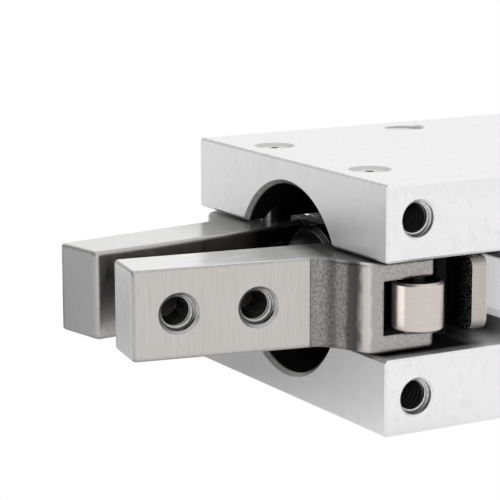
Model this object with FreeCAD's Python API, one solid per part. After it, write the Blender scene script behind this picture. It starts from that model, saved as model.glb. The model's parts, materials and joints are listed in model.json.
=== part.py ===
import FreeCAD, Part
import math
import os

from FreeCAD import Vector

# Pneumatic angular gripper, millimetres. +Z is up, the fingers point along -Y, and the origin is the
# centre of the rear mounting face. Pieces are drawn from the front face of the body (y = 0 there, y
# growing towards the rear) and moved to the rear-face origin when they are written.

# Body block
BODY_WIDTH = 42.0
BODY_THICKNESS = 27.6
BODY_CHAMFER = 0.25
FRONT_BORE_DIAMETER = 22.0
FRONT_BORE_CHAMFER = 0.45
SLOT_DEPTH = 18.4
SLOT_MOUTH_CHAMFER = 0.3
CYLINDER_DIAMETER = 20.0

# Tapped holes, drawn plain at their thread diameter with a coned mouth
M4_DIAMETER = 4.0
M4_MOUTH = 4.5
M5_DIAMETER = 5.0
M5_MOUTH = 5.4
DRILL_POINT_ANGLE = 118.0
SIDE_TAP_SETBACK = 4.1
SIDE_TAP_SPACING = 19.6
SIDE_TAP_DEPTH = 7.0
TOP_TAP_SETBACK = 26.9
TOP_TAP_INSET = 4.6
TOP_TAP_DEPTH = 6.0
REAR_TAP_INSET = 4.6
REAR_TAP_SPACING = 18.0
REAR_TAP_DEPTH = 8.0
PORT_DEPTH = 5.0
PASSAGE_DIAMETER = 1.6
PASSAGE_MARGIN = 0.2

# Switch grooves in the right side face
GROOVE_DIAMETER = 4.0
GROOVE_SPACING = 9.4
GROOVE_INSET = 1.4

# Finger levers, drawn closed
PIVOT_SPACING = 21.0
PIVOT_SETBACK = 4.5
PIVOT_PIN_DIAMETER = 4.0
PIVOT_PIN_MOUTH = 4.85
PIVOT_PIN_MOUTH_DEPTH = 1.0
PIVOT_PIN_RECESS = 0.25
PIN_END_CHAMFER = 0.3
PIN_CENTRE_DIMPLE = 0.5
FINGER_LEAN = 10.0
FINGER_SWING = 20.0
FINGER_HEIGHT = 10.0
FINGER_REACH = 28.6
FINGER_TIP_THICKNESS = 7.1
FINGER_TAPER = 2.5
FINGER_TIP_ROUND = 0.55
FINGER_EDGE_ROUND = 0.4
PAD_OFFSET = 3.7
TAP_FROM_TIP = 5.2
TAP_PITCH = 9.0
FINGER_TAP_MOUTH = 4.7
SHOULDER_LEAD = 3.2
SHOULDER_SLANT = 28.0
SHOULDER_FILLET = 1.9
SHOULDER_ROUND = 2.4
LUG_OFFSET = 8.55
PRONG_ROUND = 1.2
HUB_RADIUS = 3.4
ROOT_ROUND = 0.8

# Rollers between the fork prongs
ROLLER_ARM = 7.55
ROLLER_SETBACK = 1.5
ROLLER_DIAMETER = 5.7
ROLLER_HEIGHT = 5.5
ROLLER_CHAMFER = 0.3
ROLLER_DROP = 0.22
ROLLER_PIN_DIAMETER = 1.5
ROLLER_PIN_INSET = 0.15

# Crosshead that pushes and pulls both rollers
LIP_THICKNESS = 1.8
LIP_SHORTFALL = 1.4
LIP_ROUND = 0.5
NOTCH_ROUND = 0.8
T_BAR_SPAN = 35.4
T_BAR_HEIGHT = 8.6
T_BAR_THICKNESS = 2.0
T_BAR_CORNER = 1.4
T_BAR_CLEARANCE = 2.5
NUT_HEAD_DIAMETER = 11.7
NUT_HEAD_THICKNESS = 2.0
NUT_HEAD_CHAMFER = 0.5
NUT_SLEEVE_DIAMETER = 8.4
NUT_LENGTH = 9.7
NUT_SOCKET_ACROSS = 5.0
NUT_SOCKET_DEPTH = 1.4
WASHER_THICKNESS = 0.8
WASHER_DIAMETER = 9.6
STUD_DIAMETER = 5.0

# Piston, rod and the pieces that close the cylinder
ROD_DIAMETER = 8.0
ROD_TAIL_DIAMETER = 6.0
PISTON_NOSE_LENGTH = 1.75
PISTON_NOSE_DIAMETER = 15.0
PISTON_LAND = 0.7
WEAR_RING_WIDTH = 1.6
WEAR_RING_DEPTH = 1.0
MAGNET_WIDTH = 2.0
MAGNET_DEPTH = 2.5
PISTON_SEAL_WIDTH = 2.2
PISTON_SEAL_DEPTH = 2.2
SEAL_LIP_RELIEF = 0.5
BUMPER_THICKNESS = 1.0
BUMPER_RIM = 0.2
COVER_LENGTH = 12.0
BUSH_LENGTH = 5.0
BUSH_WALL = 1.0
ROD_SEAL_LENGTH = 2.0
ROD_SEAL_WALL = 2.0
O_RING_SECTION = 1.4
O_RING_SQUEEZE = 0.1
O_RING_GROOVE_WIDTH = 1.7
CAP_LENGTH = 5.0
CAP_BOSS_GAP = 0.6
RING_THICKNESS = 1.0
RING_LAND = 0.8
RING_GROOVE_DEPTH = 0.5
RING_WALL = 2.0
RING_EAR_RADIUS = 1.5
RING_EAR_HOLE = 1.2
RING_EAR_ANGLE = 24.0

# Clearances
SLOT_GAP = 0.3
FORK_SIDE_GAP = 0.28
FORK_ROOT_GAP = 0.3
PRESS_GAP = 0.01
RUNNING_GAP = 0.02
ROLLER_RUNNING_GAP = 0.03
PISTON_GAP = 0.05
NOTCH_FRONT_GAP = 0.1
NOTCH_REAR_GAP = 0.35
NOTCH_SIDE_GAP = 0.3
NUT_SIDE_GAP = 0.4
PISTON_END_GAP = 0.1
CUT_MARGIN = 2.0

# Lever geometry: the roller swings about the pivot from the closed to the open place
pivot_x = PIVOT_SPACING / 2
roller_x = pivot_x + ROLLER_ARM
roller_y = PIVOT_SETBACK + ROLLER_SETBACK
swing = math.radians(FINGER_SWING)
open_roller_x = pivot_x + ROLLER_ARM * math.cos(swing) - ROLLER_SETBACK * math.sin(swing)
open_roller_y = PIVOT_SETBACK + ROLLER_ARM * math.sin(swing) + ROLLER_SETBACK * math.cos(swing)
stroke = open_roller_y - roller_y
roller_radius = ROLLER_DIAMETER / 2

# Crosshead stations behind the front face
lip_rear = roller_y - roller_radius - NOTCH_FRONT_GAP
lip_front = lip_rear - LIP_THICKNESS
fork_root = lip_front - FORK_ROOT_GAP
rear_lip_front = roller_y + roller_radius + NOTCH_REAR_GAP
rear_lip_rear = rear_lip_front + LIP_THICKNESS
bar_front = rear_lip_rear + T_BAR_CLEARANCE
bar_rear = bar_front + T_BAR_THICKNESS
notch_x = open_roller_x - roller_radius - NOTCH_SIDE_GAP

# Stack of pieces along the cylinder axis, behind the front face
half_width = BODY_WIDTH / 2
half_thickness = BODY_THICKNESS / 2
slot_height = FINGER_HEIGHT + 2 * SLOT_GAP
front_bore_radius = FRONT_BORE_DIAMETER / 2
cylinder_radius = CYLINDER_DIAMETER / 2
cover_ring_front = SLOT_DEPTH + RING_LAND
cover_front = cover_ring_front + RING_THICKNESS
cover_rear = cover_front + COVER_LENGTH
piston_front = cover_rear + BUMPER_THICKNESS + PISTON_END_GAP
ring_widths = WEAR_RING_WIDTH + MAGNET_WIDTH + PISTON_SEAL_WIDTH
crown_front = piston_front + PISTON_NOSE_LENGTH
crown_rear = crown_front + ring_widths + 4 * PISTON_LAND
piston_rear = crown_rear + PISTON_NOSE_LENGTH
rear_bumper_front = piston_rear + stroke + PISTON_END_GAP
cap_front = rear_bumper_front + BUMPER_THICKNESS
cap_rear = cap_front + CAP_LENGTH
cap_ring_rear = cap_rear + RING_THICKNESS
body_length = cap_ring_rear + RING_LAND
front_port_y = cover_rear + PASSAGE_MARGIN + PASSAGE_DIAMETER / 2
rear_port_y = cap_front - PASSAGE_MARGIN - PASSAGE_DIAMETER / 2

X_AXIS = Vector(1, 0, 0)
Y_AXIS = Vector(0, 1, 0)
Z_AXIS = Vector(0, 0, 1)
ORIGIN = Vector(0, 0, 0)


def write_node(name, shape):
    placed = shape.copy()
    placed.translate(Vector(0, -body_length, 0))
    placed.exportStep("parts/" + name + ".step")


def mirrored(shape):
    return shape.mirror(ORIGIN, X_AXIS)


def rounded_outline(corners):
    """Closed face in the XY plane through (x, y, radius) corners, each rounded by a tangent arc."""
    spans = []
    count = len(corners)
    for i in range(count):
        here = Vector(corners[i][0], corners[i][1], 0)
        before = Vector(corners[i - 1][0], corners[i - 1][1], 0)
        after = Vector(corners[(i + 1) % count][0], corners[(i + 1) % count][1], 0)
        radius = corners[i][2]
        back = (before - here).normalize()
        ahead = (after - here).normalize()
        half = back.getAngle(ahead) / 2
        reach = radius / math.tan(half)
        middle = here + (back + ahead).normalize() * (radius / math.sin(half) - radius)
        spans.append((here + back * reach, middle, here + ahead * reach))
    edges = []
    for i in range(count):
        start, middle, end = spans[i]
        edges.append(Part.Arc(start, middle, end).toShape())
        edges.append(Part.LineSegment(end, spans[(i + 1) % count][0]).toShape())
    return Part.Face(Part.Wire(edges))


def extruded(face, low, high):
    solid = face.extrude(Vector(0, 0, high - low))
    solid.translate(Vector(0, 0, low))
    return solid


def turned(profile):
    """Solid of revolution about the Y axis from (radius, y) points."""
    points = [Vector(radius, y, 0) for radius, y in profile]
    face = Part.Face(Part.makePolygon(points + points[:1]))
    return face.revolve(ORIGIN, Y_AXIS, 360)


def turned_ring(inner, outer, front, rear):
    return turned([(inner, front), (outer, front), (outer, rear), (inner, rear)])


def tapped_hole(mouth_point, inward, thread, mouth, depth, point_cone=True):
    """Cutting solid of a round hole with a 45 degree mouth, running inward from its face."""
    radius = thread / 2
    flare = (mouth - thread) / 2
    outside = mouth_point - inward * CUT_MARGIN
    cutter = Part.makeCylinder(radius, depth + CUT_MARGIN, outside, inward)
    lead = Part.makeCone(mouth / 2 + flare, radius, 2 * flare, mouth_point - inward * flare, inward)
    cutter = cutter.fuse(lead)
    if point_cone:
        point_length = radius / math.tan(math.radians(DRILL_POINT_ANGLE / 2))
        cutter = cutter.fuse(Part.makeCone(radius, 0, point_length, mouth_point + inward * depth, inward))
    return cutter


def slot_cutter():
    """Square-ended slot between the two plates, with its front and side mouths broken by a chamfer."""
    half = slot_height / 2
    gap = Part.makeBox(BODY_WIDTH + 2 * CUT_MARGIN, SLOT_DEPTH + CUT_MARGIN, slot_height,
                       Vector(-half_width - CUT_MARGIN, -CUT_MARGIN, -half))
    flare = SLOT_MOUTH_CHAMFER
    wide = half + flare + CUT_MARGIN
    front = [(-CUT_MARGIN, wide), (flare, half), (flare, -half), (-CUT_MARGIN, -wide)]
    points = [Vector(-half_width, y, z) for y, z in front]
    mouths = [Part.Face(Part.makePolygon(points + points[:1])).extrude(Vector(BODY_WIDTH, 0, 0))]
    for side in (-1, 1):
        outer = side * (half_width + CUT_MARGIN)
        inner = side * (half_width - flare)
        points = [Vector(x, -CUT_MARGIN, z) for x, z in
                  ((outer, wide), (inner, half), (inner, -half), (outer, -wide))]
        face = Part.Face(Part.makePolygon(points + points[:1]))
        mouths.append(face.extrude(Vector(0, SLOT_DEPTH + CUT_MARGIN, 0)))
    return gap.multiFuse(mouths)


def bore_cutter():
    """Front bore, cylinder, cap seat and the two retaining-ring grooves as one turned cutter."""
    seat = front_bore_radius
    groove = seat + RING_GROOVE_DEPTH
    mouth = seat + FRONT_BORE_CHAMFER + CUT_MARGIN
    return turned([
        (0, -CUT_MARGIN), (mouth, -CUT_MARGIN), (seat, FRONT_BORE_CHAMFER),
        (seat, cover_ring_front), (groove, cover_ring_front), (groove, cover_front), (seat, cover_front),
        (seat, cover_rear), (cylinder_radius, cover_rear), (cylinder_radius, cap_front),
        (seat, cap_front), (seat, cap_rear), (groove, cap_rear), (groove, cap_ring_rear),
        (seat, cap_ring_rear), (seat, body_length + CUT_MARGIN), (0, body_length + CUT_MARGIN)])


def make_body():
    block = Part.makeBox(BODY_WIDTH, body_length, BODY_THICKNESS, Vector(-half_width, 0, -half_thickness))
    block = block.makeChamfer(BODY_CHAMFER, block.Edges)
    cutters = [slot_cutter(), bore_cutter()]
    for side in (-1, 1):
        hole = Part.makeCylinder(PIVOT_PIN_DIAMETER / 2 + PRESS_GAP, BODY_THICKNESS,
                                 Vector(side * pivot_x, PIVOT_SETBACK, -half_thickness))
        cutters.append(hole)
        top_mouth = Vector(side * (half_width - TOP_TAP_INSET), TOP_TAP_SETBACK, half_thickness)
        cutters.append(tapped_hole(top_mouth, -Z_AXIS, M5_DIAMETER, M5_MOUTH, TOP_TAP_DEPTH))
        for face in (-1, 1):
            up = Z_AXIS * face
            pin_mouth = Vector(side * pivot_x, PIVOT_SETBACK, face * half_thickness)
            cutters.append(tapped_hole(pin_mouth, -up, PIVOT_PIN_DIAMETER, PIVOT_PIN_MOUTH,
                                       PIVOT_PIN_MOUTH_DEPTH, False))
            side_mouth = Vector(side * half_width, SIDE_TAP_SETBACK, face * SIDE_TAP_SPACING / 2)
            cutters.append(tapped_hole(side_mouth, X_AXIS * -side, M4_DIAMETER, M4_MOUTH, SIDE_TAP_DEPTH))
            rear_x = side * (half_width - REAR_TAP_INSET)
            rear_mouth = Vector(rear_x, body_length, face * REAR_TAP_SPACING / 2)
            cutters.append(tapped_hole(rear_mouth, -Y_AXIS, M4_DIAMETER, M4_MOUTH, REAR_TAP_DEPTH))
    for port_y in (front_port_y, rear_port_y):
        mouth = Vector(-half_width, port_y, 0)
        cutters.append(tapped_hole(mouth, X_AXIS, M5_DIAMETER, M5_MOUTH, PORT_DEPTH, False))
        cutters.append(Part.makeCylinder(PASSAGE_DIAMETER / 2, half_width, mouth, X_AXIS))
    for face in (-1, 1):
        centre = Vector(half_width - GROOVE_INSET, SLOT_DEPTH, face * GROOVE_SPACING / 2)
        cutters.append(Part.makeCylinder(GROOVE_DIAMETER / 2, body_length, centre, Y_AXIS))
    return block.cut(cutters)


def pivot_pin(face):
    """Stub pin pressed into one plate; its inner end stops at the fork so the crosshead can pass."""
    radius = PIVOT_PIN_DIAMETER / 2
    inner = ROLLER_HEIGHT / 2 + FORK_SIDE_GAP
    outer = half_thickness - PIVOT_PIN_RECESS
    dimple = PIN_CENTRE_DIMPLE
    profile = [(0, inner), (radius - PIN_END_CHAMFER, inner), (radius, inner + PIN_END_CHAMFER),
               (radius, outer - PIN_END_CHAMFER), (radius - PIN_END_CHAMFER, outer), (dimple, outer),
               (0, outer - dimple)]
    pin = turned(profile)
    pin.rotate(ORIGIN, X_AXIS, 90 * face)
    pin.translate(Vector(pivot_x, PIVOT_SETBACK, 0))
    return pin


def make_pivot_pins():
    return Part.makeCompound([pivot_pin(1), pivot_pin(-1)])


def make_finger():
    """Right lever, closed: tapered finger with a machined pad, shoulder, and a fork round the roller."""
    lean = math.radians(FINGER_LEAN)
    pivot = Vector(pivot_x, PIVOT_SETBACK, 0)
    along = Vector(math.sin(lean), math.cos(lean), 0)
    outward = Vector(math.cos(lean), -math.sin(lean), 0)
    tip_outer = pivot + outward * PAD_OFFSET - along * FINGER_REACH
    tip_inner = tip_outer - outward * FINGER_TIP_THICKNESS
    inner_lean = lean - math.radians(FINGER_TAPER)
    root = Vector(tip_inner.x + (fork_root - tip_inner.y) * math.tan(inner_lean), fork_root, 0)
    to_hub = pivot - root
    tangent = math.atan2(to_hub.y, to_hub.x) + math.asin(HUB_RADIUS / to_hub.Length)
    prong_end = PIVOT_SETBACK + HUB_RADIUS
    hub_corner_x = root.x + (prong_end - root.y) / math.tan(tangent)
    shoulder_x = tip_outer.x + (-SHOULDER_LEAD - tip_outer.y) * math.tan(lean)
    lug_x = pivot_x + LUG_OFFSET
    lug_front = (lug_x - shoulder_x) * math.tan(math.radians(SHOULDER_SLANT)) - SHOULDER_LEAD
    outline = rounded_outline([
        (tip_outer.x, tip_outer.y, FINGER_TIP_ROUND), (shoulder_x, -SHOULDER_LEAD, SHOULDER_FILLET),
        (lug_x, lug_front, SHOULDER_ROUND), (lug_x, prong_end, PRONG_ROUND),
        (hub_corner_x, prong_end, HUB_RADIUS), (root.x, root.y, ROOT_ROUND),
        (tip_inner.x, tip_inner.y, FINGER_TIP_ROUND)])
    half = FINGER_HEIGHT / 2
    finger = extruded(outline, -half, half)
    rims = [edge for edge in finger.Edges if edge.BoundBox.ZLength < FINGER_EDGE_ROUND]
    finger = finger.makeFillet(FINGER_EDGE_ROUND, rims)
    fork_half = ROLLER_HEIGHT / 2 + FORK_SIDE_GAP
    fork_length = prong_end - fork_root + CUT_MARGIN
    fork = Part.makeBox(2 * lug_x, fork_length, 2 * fork_half, Vector(0, fork_root, -fork_half))
    bore = Part.makeCylinder(PIVOT_PIN_DIAMETER / 2 + RUNNING_GAP, FINGER_HEIGHT, pivot - Z_AXIS * half)
    pin_hole = Part.makeCylinder(ROLLER_PIN_DIAMETER / 2 + PRESS_GAP, FINGER_HEIGHT,
                                 Vector(roller_x, roller_y, -half))
    cutters = [fork, bore, pin_hole]
    for distance in (TAP_FROM_TIP, TAP_FROM_TIP + TAP_PITCH):
        mouth = tip_outer + along * distance
        cutters.append(tapped_hole(mouth, -outward, M4_DIAMETER, FINGER_TAP_MOUTH, 2 * FINGER_REACH, False))
    return finger.cut(cutters)


def make_roller():
    half = ROLLER_HEIGHT / 2
    bore = ROLLER_PIN_DIAMETER / 2 + ROLLER_RUNNING_GAP
    rim = roller_radius - ROLLER_CHAMFER
    roller = turned([(bore, -half), (rim, -half), (roller_radius, ROLLER_CHAMFER - half),
                     (roller_radius, half - ROLLER_CHAMFER), (rim, half), (bore, half)])
    roller.rotate(ORIGIN, X_AXIS, 90)
    roller.translate(Vector(roller_x, roller_y, -ROLLER_DROP))
    return roller


def make_roller_pin():
    half = FINGER_HEIGHT / 2 - ROLLER_PIN_INSET
    return Part.makeCylinder(ROLLER_PIN_DIAMETER / 2, 2 * half, Vector(roller_x, roller_y, -half))


def crosshead_arm():
    """Right arm: a hook whose lips hold the roller in an open notch, the rear lip as tall as the bar."""
    inner = NUT_HEAD_DIAMETER / 2 + NUT_SIDE_GAP
    lip_end = roller_x - LIP_SHORTFALL
    root = bar_front + T_BAR_THICKNESS / 2
    half = ROLLER_HEIGHT / 2
    rise = T_BAR_HEIGHT / 2
    hook = extruded(rounded_outline([
        (inner, lip_front, LIP_ROUND), (lip_end, lip_front, LIP_ROUND), (lip_end, lip_rear, LIP_ROUND),
        (notch_x, lip_rear, NOTCH_ROUND), (notch_x, rear_lip_front, NOTCH_ROUND),
        (lip_end, rear_lip_front, LIP_ROUND), (lip_end, rear_lip_rear, LIP_ROUND),
        (notch_x, rear_lip_rear, NOTCH_ROUND), (notch_x, root, LIP_ROUND), (inner, root, LIP_ROUND)]),
        -half, half)
    rear_lip = extruded(rounded_outline([
        (inner, rear_lip_front, LIP_ROUND), (lip_end, rear_lip_front, LIP_ROUND),
        (lip_end, rear_lip_rear, LIP_ROUND), (inner, rear_lip_rear, LIP_ROUND)]), -rise, rise)
    return hook.fuse(rear_lip)


def make_crosshead():
    reach = T_BAR_SPAN / 2
    rise = T_BAR_HEIGHT / 2
    corners = [(x, y, T_BAR_CORNER) for x, y in
               ((-reach, -rise), (reach, -rise), (reach, rise), (-reach, rise))]
    bar = rounded_outline(corners).extrude(Z_AXIS * T_BAR_THICKNESS)
    bar.rotate(ORIGIN, X_AXIS, 90)
    bar.translate(Vector(0, bar_rear, 0))
    arm = crosshead_arm()
    crosshead = bar.multiFuse([arm, mirrored(arm)]).removeSplitter()
    stud_hole = Part.makeCylinder(STUD_DIAMETER / 2 + PRESS_GAP, 2 * T_BAR_THICKNESS,
                                  Vector(0, bar_front - T_BAR_THICKNESS / 2, 0), Y_AXIS)
    return crosshead.cut(stud_hole)


def nut_front():
    return bar_front - WASHER_THICKNESS - NUT_LENGTH


def make_crosshead_nut():
    front = nut_front()
    rear = bar_front - WASHER_THICKNESS
    head = NUT_HEAD_DIAMETER / 2
    sleeve = NUT_SLEEVE_DIAMETER / 2
    thread = STUD_DIAMETER / 2 + PRESS_GAP
    head_rear = front + NUT_HEAD_THICKNESS
    floor = front + NUT_SOCKET_DEPTH
    nut = turned([(0, front), (head - NUT_HEAD_CHAMFER, front), (head, front + NUT_HEAD_CHAMFER),
                  (head, head_rear), (sleeve, head_rear), (sleeve, rear), (thread, rear),
                  (thread, head_rear), (0, head_rear)])
    corner = NUT_SOCKET_ACROSS / math.sqrt(3)
    points = [Vector(corner * math.cos(math.radians(a)), front, corner * math.sin(math.radians(a)))
              for a in range(0, 360, 60)]
    socket = Part.Face(Part.makePolygon(points + points[:1])).extrude(Y_AXIS * (floor - front))
    return nut.cut(socket)


def make_crosshead_washer():
    return turned_ring(STUD_DIAMETER / 2 + PRESS_GAP, WASHER_DIAMETER / 2,
                       bar_front - WASHER_THICKNESS, bar_front)


def make_piston_rod():
    stud = STUD_DIAMETER / 2
    rod = ROD_DIAMETER / 2
    tail = ROD_TAIL_DIAMETER / 2
    stud_front = nut_front() + NUT_HEAD_THICKNESS
    return turned([(0, stud_front), (stud, stud_front), (stud, bar_rear), (rod, bar_rear),
                   (rod, piston_front), (tail, piston_front), (tail, piston_rear), (0, piston_rear)])


def piston_stations():
    wear = crown_front + PISTON_LAND
    magnet = wear + WEAR_RING_WIDTH + PISTON_LAND
    seal = magnet + MAGNET_WIDTH + PISTON_LAND
    return wear, magnet, seal


def make_piston():
    wear, magnet, seal = piston_stations()
    crown = cylinder_radius - PISTON_GAP
    nose = PISTON_NOSE_DIAMETER / 2
    tail = ROD_TAIL_DIAMETER / 2 + PRESS_GAP
    profile = [(tail, piston_front), (nose, piston_front), (nose, crown_front), (crown, crown_front)]
    grooves = [(wear, WEAR_RING_WIDTH, WEAR_RING_DEPTH), (magnet, MAGNET_WIDTH, MAGNET_DEPTH),
               (seal, PISTON_SEAL_WIDTH, PISTON_SEAL_DEPTH)]
    for start, width, depth in grooves:
        floor = cylinder_radius - depth
        profile += [(crown, start), (floor, start), (floor, start + width), (crown, start + width)]
    profile += [(crown, crown_rear), (nose, crown_rear), (nose, piston_rear), (tail, piston_rear)]
    return turned(profile)


def piston_ring(start, width, depth, outer_gap):
    inner = cylinder_radius - depth + PRESS_GAP
    return turned_ring(inner, cylinder_radius - outer_gap, start + PRESS_GAP, start + width - PRESS_GAP)


def make_piston_seal():
    seal = piston_stations()[2]
    ring = piston_ring(seal, PISTON_SEAL_WIDTH, PISTON_SEAL_DEPTH, RUNNING_GAP)
    middle = cylinder_radius - PISTON_SEAL_DEPTH / 2
    rear = seal + PISTON_SEAL_WIDTH
    relief = turned([(middle, rear - PISTON_SEAL_WIDTH / 2), (middle + SEAL_LIP_RELIEF, rear),
                     (middle - SEAL_LIP_RELIEF, rear)])
    return ring.cut(relief)


def make_rod_cover():
    outer = front_bore_radius - PRESS_GAP
    shaft = ROD_DIAMETER / 2 + NUT_SIDE_GAP
    bush = ROD_DIAMETER / 2 + BUSH_WALL + PRESS_GAP
    seal = ROD_DIAMETER / 2 + ROD_SEAL_WALL + PRESS_GAP
    bush_rear = cover_front + BUSH_LENGTH
    seal_front = cover_rear - ROD_SEAL_LENGTH
    cover = turned([(bush, cover_front), (outer, cover_front), (outer, cover_rear), (seal, cover_rear),
                    (seal, seal_front), (shaft, seal_front), (shaft, bush_rear), (bush, bush_rear)])
    return cover.cut(o_ring_groove((cover_front + cover_rear) / 2))


def o_ring_groove(middle):
    floor = front_bore_radius - O_RING_SECTION + O_RING_SQUEEZE
    half = O_RING_GROOVE_WIDTH / 2
    return turned_ring(floor, front_bore_radius + CUT_MARGIN, middle - half, middle + half)


def o_ring(middle):
    """O-ring squeezed between the groove floor and the bore, with an eight-sided section."""
    half = (O_RING_SECTION - O_RING_SQUEEZE) / 2 - PRESS_GAP
    flat = half * math.tan(math.pi / 8)
    radius = front_bore_radius - PRESS_GAP - half
    return turned([
        (radius + half, middle - flat), (radius + half, middle + flat),
        (radius + flat, middle + half), (radius - flat, middle + half),
        (radius - half, middle + flat), (radius - half, middle - flat),
        (radius - flat, middle - half), (radius + flat, middle - half)])


def make_rod_bush():
    inner = ROD_DIAMETER / 2 + RUNNING_GAP
    return turned_ring(inner, ROD_DIAMETER / 2 + BUSH_WALL, cover_front, cover_front + BUSH_LENGTH)


def make_rod_seal():
    inner = ROD_DIAMETER / 2 + RUNNING_GAP
    outer = ROD_DIAMETER / 2 + ROD_SEAL_WALL
    middle = (inner + outer) / 2
    front = cover_rear - ROD_SEAL_LENGTH
    ring = turned_ring(inner, outer, front, cover_rear)
    relief = turned([(middle, front + ROD_SEAL_LENGTH / 2), (middle + SEAL_LIP_RELIEF, cover_rear),
                     (middle - SEAL_LIP_RELIEF, cover_rear)])
    return ring.cut(relief)


def retaining_ring(front):
    """Internal retaining ring, open at the bottom, with two plier ears."""
    outer = front_bore_radius + RING_GROOVE_DEPTH - PRESS_GAP
    inner = outer - RING_WALL
    ring = turned_ring(inner, outer, front, front + RING_THICKNESS)
    ear_orbit = inner - RING_EAR_RADIUS / 3
    ears = []
    holes = []
    for side in (-1, 1):
        angle = math.radians(-90 + side * RING_EAR_ANGLE)
        centre = Vector(ear_orbit * math.cos(angle), front, ear_orbit * math.sin(angle))
        ears.append(Part.makeCylinder(RING_EAR_RADIUS, RING_THICKNESS, centre, Y_AXIS))
        holes.append(Part.makeCylinder(RING_EAR_HOLE / 2, RING_THICKNESS, centre, Y_AXIS))
    reach = outer + CUT_MARGIN
    spread = math.radians(RING_EAR_ANGLE) - RING_EAR_RADIUS / ear_orbit
    gap = [Vector(0, front, 0), Vector(-reach * math.tan(spread), front, -reach),
           Vector(reach * math.tan(spread), front, -reach)]
    mouth = Part.Face(Part.makePolygon(gap + gap[:1])).extrude(Y_AXIS * RING_THICKNESS)
    return ring.multiFuse(ears).removeSplitter().cut(holes + [mouth])


def make_front_bumper():
    rim = PISTON_NOSE_DIAMETER / 2 - BUMPER_RIM
    return turned_ring(ROD_DIAMETER / 2 + NUT_SIDE_GAP, rim, cover_rear, cover_rear + BUMPER_THICKNESS)


def make_rear_bumper():
    rim = PISTON_NOSE_DIAMETER / 2 - BUMPER_RIM
    return turned_ring(ROD_TAIL_DIAMETER / 2 + NUT_SIDE_GAP, rim, rear_bumper_front, cap_front)


def make_end_cap():
    outer = front_bore_radius - PRESS_GAP
    boss = front_bore_radius + RING_GROOVE_DEPTH - RING_WALL - RING_EAR_RADIUS * 4 / 3 - CAP_BOSS_GAP
    cap = turned([(0, cap_front), (outer, cap_front), (outer, cap_rear), (boss, cap_rear),
                  (boss, body_length), (0, body_length)])
    return cap.cut(o_ring_groove((cap_front + cap_rear) / 2))


os.makedirs("parts", exist_ok=True)
wear_y, magnet_y, seal_y = piston_stations()
right_side = {"pivot_pins": make_pivot_pins(), "finger": make_finger(), "roller": make_roller(),
              "roller_pin": make_roller_pin()}
for piece, shape in right_side.items():
    write_node(piece + "_right", shape)
    write_node(piece + "_left", mirrored(shape))
write_node("body", make_body())
write_node("crosshead", make_crosshead())
write_node("crosshead_nut", make_crosshead_nut())
write_node("crosshead_washer", make_crosshead_washer())
write_node("piston_rod", make_piston_rod())
write_node("piston", make_piston())
write_node("wear_ring", piston_ring(wear_y, WEAR_RING_WIDTH, WEAR_RING_DEPTH, RUNNING_GAP))
write_node("magnet_ring", piston_ring(magnet_y, MAGNET_WIDTH, MAGNET_DEPTH, PISTON_GAP))
write_node("piston_seal", make_piston_seal())
write_node("rod_cover", make_rod_cover())
write_node("rod_cover_o_ring", o_ring((cover_front + cover_rear) / 2))
write_node("rod_cover_ring", retaining_ring(cover_ring_front))
write_node("rod_bush", make_rod_bush())
write_node("rod_seal", make_rod_seal())
write_node("front_bumper", make_front_bumper())
write_node("rear_bumper", make_rear_bumper())
write_node("end_cap", make_end_cap())
write_node("end_cap_o_ring", o_ring((cap_front + cap_rear) / 2))
write_node("end_cap_ring", retaining_ring(cap_rear))
print("stroke", round(stroke, 4), "body length", round(body_length, 4))
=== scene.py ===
import json
import math
from types import SimpleNamespace

import bmesh
import bpy
from mathutils import Matrix, Vector


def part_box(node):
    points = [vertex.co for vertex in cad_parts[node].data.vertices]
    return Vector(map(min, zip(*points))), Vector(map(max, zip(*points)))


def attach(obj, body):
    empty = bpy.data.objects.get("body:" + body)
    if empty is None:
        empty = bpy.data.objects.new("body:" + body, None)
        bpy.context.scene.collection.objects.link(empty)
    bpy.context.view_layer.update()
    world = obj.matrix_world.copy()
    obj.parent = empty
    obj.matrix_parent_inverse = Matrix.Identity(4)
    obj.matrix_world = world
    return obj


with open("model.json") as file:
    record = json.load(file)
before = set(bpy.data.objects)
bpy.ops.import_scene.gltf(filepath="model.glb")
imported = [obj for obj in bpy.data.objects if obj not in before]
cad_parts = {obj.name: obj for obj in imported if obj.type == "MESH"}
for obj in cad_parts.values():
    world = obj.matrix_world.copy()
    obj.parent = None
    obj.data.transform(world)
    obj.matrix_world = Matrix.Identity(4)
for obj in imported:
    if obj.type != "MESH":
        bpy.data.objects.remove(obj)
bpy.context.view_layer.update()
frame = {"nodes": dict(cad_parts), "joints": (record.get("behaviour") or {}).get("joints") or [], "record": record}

# Sizes are in metres, written as so many millimetres
MM = 0.001

# Directions, and the signs of the two sides along X
X_AXIS = Vector((1, 0, 0))
Y_AXIS = Vector((0, 1, 0))
Z_AXIS = Vector((0, 0, 1))
SIDES = {1: "right", -1: "left"}

# Places read from the frame
body_low, body_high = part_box("body")
front_face = Vector((0, body_low.y, 0))
mounts = {mount["name"]: mount for mount in frame["record"]["mounts"]}
joints = {joint["name"]: joint for joint in frame["joints"]}

# Camera, measured from the middle of the body's front face
CAMERA_PLACE = Vector((201.781, -118.667, 49.444)) * MM
CAMERA_AZIMUTH = math.radians(60.569)
CAMERA_ELEVATION = math.radians(11.142)
CAMERA_ROLL = math.radians(-0.172)
CAMERA_LENS = 149.436
CAMERA_NEAREST = 10 * MM

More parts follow.
